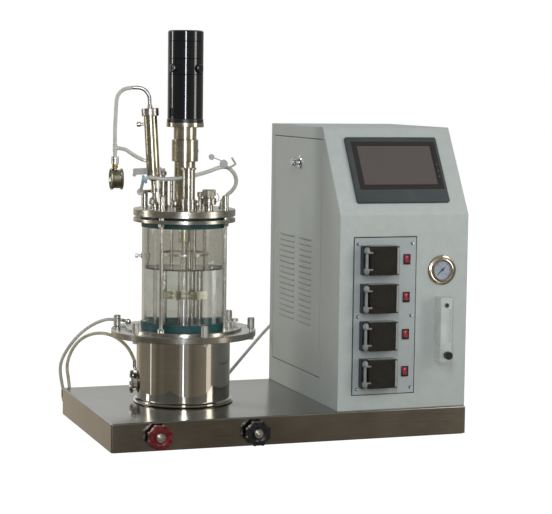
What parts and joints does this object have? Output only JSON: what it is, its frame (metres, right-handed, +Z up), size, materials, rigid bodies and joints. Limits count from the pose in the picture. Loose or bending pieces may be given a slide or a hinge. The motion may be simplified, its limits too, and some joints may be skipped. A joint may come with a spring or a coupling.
{
  "type": "bench bioreactor",
  "caption": "Bench stirred glass bioreactor with steel jacket, drive motor, condenser and hoses beside a sloped pump cabinet on a steel base.",
  "frame": {"origin": "centre of the base plate's underside, where the part stands on the bench", "axes": "+X along the base from the vessel to the cabinet, +Y to the back, +Z up"},
  "size_m": [0.7548, 0.5174, 0.819],
  "materials": {
    "polished_steel": "polished",
    "mirror_steel": "mirror",
    "turned_steel": "turned",
    "brass": "turned",
    "red_plastic": "moulded",
    "black_plastic": "moulded",
    "teal_rubber": "moulded",
    "clear_glass": "ground ends",
    "culture": "clear liquid",
    "motor_black": "gloss enamel",
    "clear_hose": "translucent",
    "yellow_hose": "translucent, yellowed",
    "grey_plastic": "moulded",
    "gauge_case": "plated",
    "pointer_black": "enamel",
    "cabinet_paint": "powder coat, satin",
    "smoked_plastic": "smoked, polished",
    "white_plastic": "moulded",
    "screen_plastic": "moulded",
    "chrome": "plated",
    "clear_acrylic": "polished acrylic",
    "control_box": "zinc plated"
  },
  "bodies": {
    "frame": {"base_tray": "polished_steel", "base_plumbing": "brass", "jacket": "mirror_steel", "inner_pot": "mirror_steel", "flange_nuts": "turned_steel", "gaskets": "teal_rubber", "glass_cylinder": "clear_glass", "upper_ring": "turned_steel", "tie_rods": "turned_steel", "baffle_cage": "turned_steel", "dip_tubes": "turned_steel", "culture_liquid": "culture", "bearing_housing": "mirror_steel", "drive_sleeve": "mirror_steel", "motor_adapter": "mirror_steel", "motor": "motor_black", "lid": "turned_steel", "lid_fittings": "mirror_steel", "condenser": "mirror_steel", "condenser_cap": "turned_steel", "condenser_clip": "grey_plastic", "lid_connector": "clear_hose", "vessel_gauge": "gauge_case", "vent_hose": "clear_hose", "branch_hose": "clear_hose", "lid_hose": "clear_hose", "outer_jacket_hose": "clear_hose", "inner_jacket_hose": "yellow_hose", "right_jacket_hose": "clear_hose", "pinch_clip": "grey_plastic", "cabinet_shell": "cabinet_paint", "pump_panel": "cabinet_paint", "pump_bodies": "black_plastic", "pump_covers": "smoked_plastic", "pump_tubes": "white_plastic", "rocker_bezels": "black_plastic", "touch_screen": "screen_plastic", "panel_gauge": "chrome", "rotameter": "clear_acrylic", "control_unit": "control_box"},
    "stirrer": {"stirrer_shaft": "turned_steel", "impellers": "turned_steel", "shaft_coupling": "turned_steel"},
    "red_valve": {"red_hand_wheel": "red_plastic"},
    "black_valve": {"black_hand_wheel": "black_plastic"},
    "side_door": {"side_panel": "cabinet_paint"},
    "door_lock": {"panel_lock": "chrome"},
    "inoculation_screw_cap": {"inoculation_cap": "turned_steel"},
    "small_pointer": {"vessel_gauge_pointer": "pointer_black"},
    "panel_pointer": {"panel_gauge_pointer": "pointer_black"},
    "flow_float": {"rotameter_float": "black_plastic"},
    "flow_knob": {"rotameter_knob": "black_plastic"},
    "rotor_1": {"pump_rotor_1": "grey_plastic"},
    "switch_1": {"rocker_1": "red_plastic"},
    "rotor_2": {"pump_rotor_2": "grey_plastic"},
    "switch_2": {"rocker_2": "red_plastic"},
    "rotor_3": {"pump_rotor_3": "grey_plastic"},
    "switch_3": {"rocker_3": "red_plastic"},
    "rotor_4": {"pump_rotor_4": "grey_plastic"},
    "switch_4": {"rocker_4": "red_plastic"}
  },
  "joints": [
    {"name": "stirrer_spin", "type": "hinge", "parent": "frame", "child": "stirrer", "pos_m": [-0.167, 0.005, 0.456], "axis": [0, 0, 1], "continuous": true},
    {"name": "red_valve_turn", "type": "hinge", "parent": "frame", "child": "red_valve", "pos_m": [-0.2815, -0.232, 0.03], "axis": [0, -1, 0], "range_deg": [0, 360]},
    {"name": "black_valve_turn", "type": "hinge", "parent": "frame", "child": "black_valve", "pos_m": [-0.082, -0.232, 0.028], "axis": [0, -1, 0], "range_deg": [0, 360]},
    {"name": "side_door_tilt", "type": "hinge", "parent": "frame", "child": "side_door", "pos_m": [0.0944, 0.0475, 0.111], "axis": [0, 1, 0], "range_deg": [-12, 0]},
    {"name": "door_lock_turn", "type": "hinge", "parent": "side_door", "child": "door_lock", "pos_m": [0.0944, 0.031, 0.5495], "axis": [-1, 0, 0], "range_deg": [0, 90]},
    {"name": "inoculation_cap_turn", "type": "hinge", "parent": "frame", "child": "inoculation_screw_cap", "pos_m": [-0.13241, -0.05313, 0.49], "axis": [0, 0, 1], "range_deg": [0, 360]},
    {"name": "small_pointer_turn", "type": "hinge", "parent": "frame", "child": "small_pointer", "pos_m": [-0.30308, 0.03671, 0.5157], "axis": [-0.9971, 0.0767, 0], "range_deg": [-270, 0]},
    {"name": "panel_pointer_turn", "type": "hinge", "parent": "frame", "child": "panel_pointer", "pos_m": [0.3182, -0.2065, 0.34], "axis": [0, -1, 0], "range_deg": [-264, 0]},
    {"name": "flow_float_slide", "type": "slide", "parent": "frame", "child": "flow_float", "axis": [0, 0, 1], "range_m": [0, 0.07]},
    {"name": "flow_knob_turn", "type": "hinge", "parent": "frame", "child": "flow_knob", "pos_m": [0.3167, -0.2375, 0.17], "axis": [0, -1, 0], "range_deg": [0, 330]},
    {"name": "pump_rotor_1_spin", "type": "hinge", "parent": "frame", "child": "rotor_1", "pos_m": [0.1834, -0.2075, 0.3637], "axis": [0, -1, 0], "continuous": true},
    {"name": "switch_1_rock", "type": "hinge", "parent": "frame", "child": "switch_1", "pos_m": [0.2394, -0.2075, 0.3637], "axis": [1, 0, 0], "range_deg": [0, 16]},
    {"name": "pump_rotor_2_spin", "type": "hinge", "parent": "frame", "child": "rotor_2", "pos_m": [0.1834, -0.2075, 0.2868], "axis": [0, -1, 0], "continuous": true},
    {"name": "switch_2_rock", "type": "hinge", "parent": "frame", "child": "switch_2", "pos_m": [0.2394, -0.2075, 0.2868], "axis": [1, 0, 0], "range_deg": [0, 16]},
    {"name": "pump_rotor_3_spin", "type": "hinge", "parent": "frame", "child": "rotor_3", "pos_m": [0.1834, -0.2075, 0.211], "axis": [0, -1, 0], "continuous": true},
    {"name": "switch_3_rock", "type": "hinge", "parent": "frame", "child": "switch_3", "pos_m": [0.2394, -0.2075, 0.211], "axis": [1, 0, 0], "range_deg": [0, 16]},
    {"name": "pump_rotor_4_spin", "type": "hinge", "parent": "frame", "child": "rotor_4", "pos_m": [0.1834, -0.2075, 0.1349], "axis": [0, -1, 0], "continuous": true},
    {"name": "switch_4_rock", "type": "hinge", "parent": "frame", "child": "switch_4", "pos_m": [0.2394, -0.2075, 0.1349], "axis": [1, 0, 0], "range_deg": [0, 16]}
  ]
}
